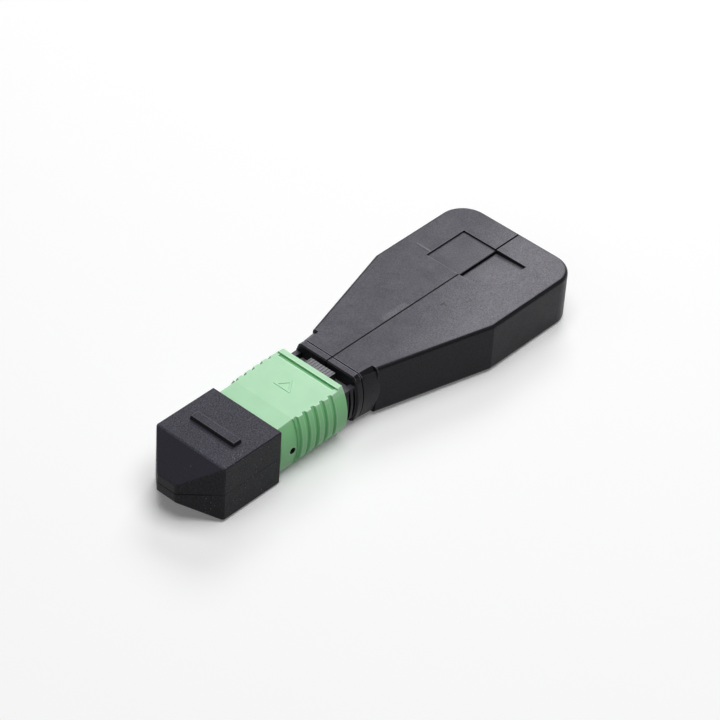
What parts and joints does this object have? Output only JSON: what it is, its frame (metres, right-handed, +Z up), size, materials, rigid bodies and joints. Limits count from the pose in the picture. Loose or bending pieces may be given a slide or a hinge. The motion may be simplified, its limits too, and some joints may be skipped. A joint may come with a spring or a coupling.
{
  "type": "mpo fibre loopback connector",
  "caption": "Ribbon fibre plug with a green pull sleeve and a black dust cap, on a flat paddle-shaped housing that holds the looped fibres.",
  "frame": {"origin": "middle of the bounding box, on the surface the part lies on", "axes": "+Y from the dust cap's tip to the paddle's far end, +Z up out of the face with the cap's grip bar, X across the paddle"},
  "size_m": [0.0198, 0.064, 0.0086],
  "materials": {
    "cap_black": "fine spark-eroded matt moulding",
    "shell_black": "satin black moulding with a fine even grain",
    "frame_black": "satin black engineering plastic",
    "sleeve_green": "satin mint green moulding",
    "ferrule_grey": "glass-filled precision moulding, polished end face",
    "epoxy": "cured amber resin",
    "boot_rubber": "soft matt elastomer",
    "spacer_plastic": "natural moulding",
    "spring_steel": "drawn stainless wire",
    "fibre_coating": "clear aqua acrylate coating"
  },
  "bodies": {
    "plug": {"plug_frame": "frame_black", "spring_push": "frame_black", "ferrule_spring": "spring_steel", "coupling_spring_left": "spring_steel", "coupling_spring_right": "spring_steel", "shell_left": "shell_black", "shell_right": "shell_black"},
    "cap": {"dust_cap": "cap_black"},
    "sleeve": {"coupling_sleeve": "sleeve_green"},
    "ferrule": {"mt_ferrule": "ferrule_grey", "ferrule_potting": "epoxy", "ferrule_boot": "boot_rubber", "pin_spacer": "spacer_plastic", "fibre_ribbon": "fibre_coating", "fibre_loop_1": "fibre_coating", "fibre_loop_2": "fibre_coating", "fibre_loop_3": "fibre_coating", "fibre_loop_4": "fibre_coating", "fibre_loop_5": "fibre_coating", "fibre_loop_6": "fibre_coating"}
  },
  "joints": [
    {"name": "cap_pull", "type": "slide", "parent": "plug", "child": "cap", "axis": [0, -1, 0], "range_m": [0, 0.02]},
    {"name": "sleeve_slide", "type": "slide", "parent": "plug", "child": "sleeve", "axis": [0, 1, 0], "range_m": [0, 0.0018], "stiffness_N_per_m": 600, "springref_m": -0.001, "deforming": ["coupling_spring_left", "coupling_spring_right"]},
    {"name": "ferrule_float", "type": "slide", "parent": "plug", "child": "ferrule", "axis": [0, 1, 0], "range_m": [0, 0.001], "stiffness_N_per_m": 2500, "springref_m": -0.001, "deforming": ["ferrule_spring"]}
  ]
}
